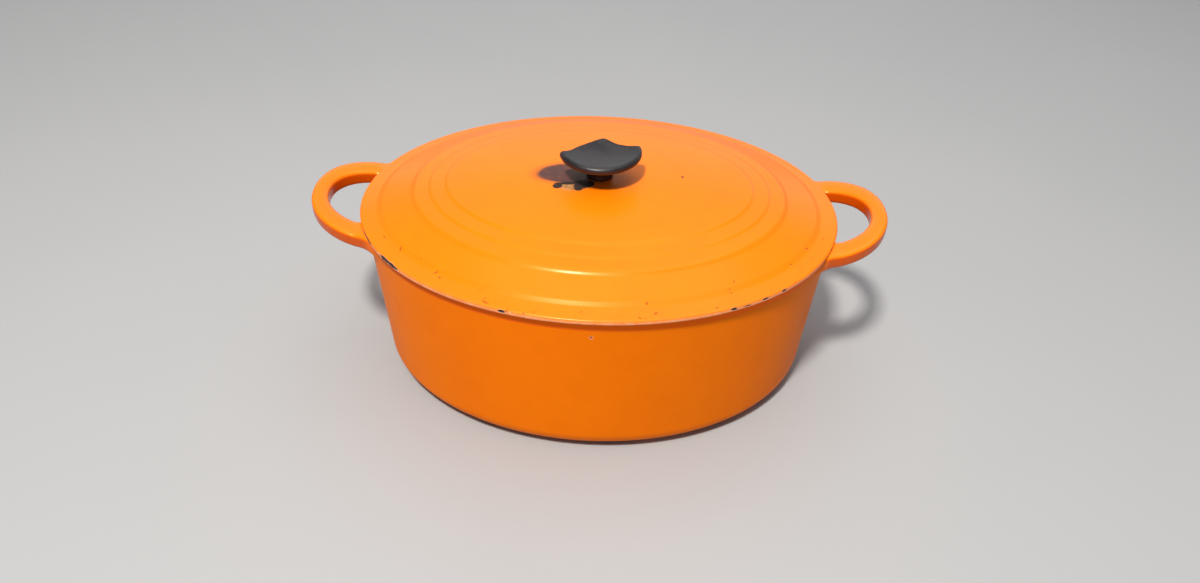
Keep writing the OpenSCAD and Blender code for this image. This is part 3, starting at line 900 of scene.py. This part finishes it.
def make_knob():
    angle = np.arange(KNOB_COLUMNS) * 2 * math.pi / KNOB_COLUMNS
    reach = disc_reach(angle)
    flat_share = 1 - DISC_EDGE_R / DISC_R
    curl = 1 - (1 - flat_share) * (1 - np.sin(np.linspace(0, math.pi / 2, 9)))
    rings = []
    for share in np.concatenate([np.linspace(0.04, flat_share, 20)[:-1], curl]):
        r = share * reach
        rings.append((r, disc_top(r)))
    top_count = len(rings)
    steps = 10
    for k in range(1, steps):
        grit = 0.18 * MM * wear_noise(angle, 60 + k, [(8, 1.0), (23, 0.8), (60, 0.5)])
        whole = reach >= DISC_R - 1e-7
        r = np.where(whole, reach, reach + grit * math.sin(math.pi * k / steps))
        rings.append((r, disc_top(reach) + (disc_under(reach) - disc_top(reach)) * k / steps))
    face_count = len(rings)
    for share in np.concatenate([curl[::-1], np.linspace(flat_share, 0, 16)[1:]]):
        if share * DISC_R < STEM_R:
            break
        past_stem = np.clip((share * DISC_R - STEM_R) / (DISC_R - STEM_R), 0, 1)
        r = STEM_R + (reach - STEM_R) * past_stem
        rings.append((r, disc_under(r)))
    foot = rounded_path([
        (STEM_R, 5 * MM, 0), (STEM_R, 3 * MM, 6 * MM), (STEM_R + 0.4 * MM, 0, 0.4 * MM),
        (FLANGE_R, 0, 0.15 * MM), (FLANGE_R, FLANGE_DEPTH, 0.1 * MM), (BORE_R, FLANGE_DEPTH, 0.15 * MM),
        (BORE_R, BORE_DEPTH, 0.2 * MM), (0.3 * MM, BORE_DEPTH, 0),
    ], arc_step=0.2 * MM, line_step=1.5 * MM)
    for r, z in foot:
        rings.append((np.full(KNOB_COLUMNS, r), np.full(KNOB_COLUMNS, z)))
    cos, sin = np.cos(angle), np.sin(angle)
    points = np.concatenate([np.stack([r * cos, r * sin, SEAT_Z + z], 1) for r, z in rings])
    numbers = np.arange(len(points)).reshape(len(rings), KNOB_COLUMNS)
    centre_z = SEAT_Z + float(disc_top(np.zeros(1))[0])
    poles = np.array([[0, 0, centre_z], [0, 0, SEAT_Z + BORE_DEPTH]])
    quads = ring_quads(numbers).reshape(len(rings) - 1, KNOB_COLUMNS, 4)
    rough_rows = quads[top_count - 1:face_count]
    broken = (reach < DISC_R - 1e-7) & (np.roll(reach, -1) < DISC_R - 1e-7)
    groups = [
        (quads[:top_count - 1].reshape(-1, 4), 0),
        (rough_rows[:, broken].reshape(-1, 4), 1),
        (rough_rows[:, ~broken].reshape(-1, 4), 0),
        (quads[face_count:].reshape(-1, 4), 0),
        (fan(numbers[0], len(points)), 0),
        (fan(numbers[-1], len(points) + 1), 0),
    ]
    everything = np.concatenate([points, poles])
    return build("knob_moulding", everything, groups, [phenolic(False), phenolic(True)], merge=MERGE)


# ---------------------------------------------------------------- the object
stand_for(make_pot(), "pot", "pot")
stand_for(make_lid(), "lid", "lid")
stand_for(make_knob(), "knob", "lid")
for node, metal in (
    ("knob_insert", turned_metal("brass_turned", (0.70, 0.50, 0.20), (0.28, 0.18, 0.08), 4000)),
    ("knob_screw", turned_metal("steel_plated", (0.56, 0.56, 0.57), (0.22, 0.20, 0.18), 3000)),
    ("screw_washer", turned_metal("steel_washer", (0.52, 0.52, 0.53), (0.20, 0.18, 0.16), 2500)),
):
    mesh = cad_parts[node].data
    for number in range(max(1, len(mesh.materials))):
        if mesh.materials:
            mesh.materials[number] = metal
        else:
            mesh.materials.append(metal)


# ---------------------------------------------------------------- stage, light and camera
# The floor is a hair below the base, so that the two faces don't coincide
FLOOR_GAP = 0.2 * MM
FLOOR_HALF = 4.0
FLOOR_CELLS = 16


def make_floor():
    half, cells = FLOOR_HALF, FLOOR_CELLS
    side = np.linspace(-half, half, cells + 1)
    points = [(x, y, -FLOOR_GAP) for y in side for x in side]
    row = cells + 1
    faces = [(j * row + i, j * row + i + 1, (j + 1) * row + i + 1, (j + 1) * row + i)
             for j in range(cells) for i in range(cells)]
    mesh = bpy.data.meshes.new("floor")
    mesh.from_pydata(points, [], faces)
    mesh.materials.append(studio_floor())
    floor = bpy.data.objects.new("floor", mesh)
    bpy.context.scene.collection.objects.link(floor)


def area_light(name, place, aim, size, watts, colour=(1, 1, 1)):
    lamp = bpy.data.lights.new(name, "AREA")
    lamp.shape = "RECTANGLE"
    lamp.size, lamp.size_y = size
    lamp.energy = watts
    lamp.color = colour
    thing = bpy.data.objects.new(name, lamp)
    bpy.context.scene.collection.objects.link(thing)
    thing.location = place
    direction = np.array(aim, float) - np.array(place, float)
    thing.rotation_euler = Vector(direction).to_track_quat("-Z", "Y").to_euler()


def make_light():
    area_light("key", (-0.27, -0.86, 1.72), (0, 0, 0.1), (0.19, 0.19), 46, (1.0, 0.97, 0.93))
    area_light("front_fill", (0.0, -1.9, 0.35), (0, 0, 0.06), (1.6, 0.7), 1.6)
    area_light("top", (0.2, 0.1, 1.75), (0, 0, 0.1), (1.6, 1.6), 11.5)
    area_light("back_top", (0.0, 1.15, 1.65), (0, 0, 0.1), (2.0, 1.0), 3)
    area_light("back_wash", (0.1, 1.7, 0.75), (0, 0, 0.1), (2.6, 0.9), 4.5)
    world = bpy.data.worlds.new("studio")
    bpy.context.scene.world = world
    world.use_nodes = True
    background = world.node_tree.nodes["Background"]
    background.inputs["Color"].default_value = (0.86, 0.90, 1.0, 1)
    background.inputs["Strength"].default_value = 0.27


# The camera's place before it turns round the object, in metres, and its angles in degrees
CAMERA_PLACE = (0.0026, -0.5148, 0.4525)
CAMERA_DOWN = 38.5
CAMERA_ROLL = 1.9
CAMERA_AROUND = 0.95
SENSOR_WIDTH = 36
FOCAL_LENGTH = 27


def make_camera():
    lens = bpy.data.cameras.new("camera")
    lens.sensor_width = SENSOR_WIDTH
    lens.lens = FOCAL_LENGTH
    camera = bpy.data.objects.new("camera", lens)
    bpy.context.scene.collection.objects.link(camera)
    pitch = Matrix.Rotation(math.radians(90 - CAMERA_DOWN), 4, "X")
    roll = Matrix.Rotation(math.radians(CAMERA_ROLL), 4, "Z")
    place = Matrix.Translation(CAMERA_PLACE)
    around = Matrix.Rotation(math.radians(CAMERA_AROUND), 4, "Z")
    camera.matrix_world = around @ place @ pitch @ roll
    bpy.context.scene.camera = camera


make_floor()
make_light()
make_camera()
bpy.context.scene.view_settings.view_transform = "Standard"
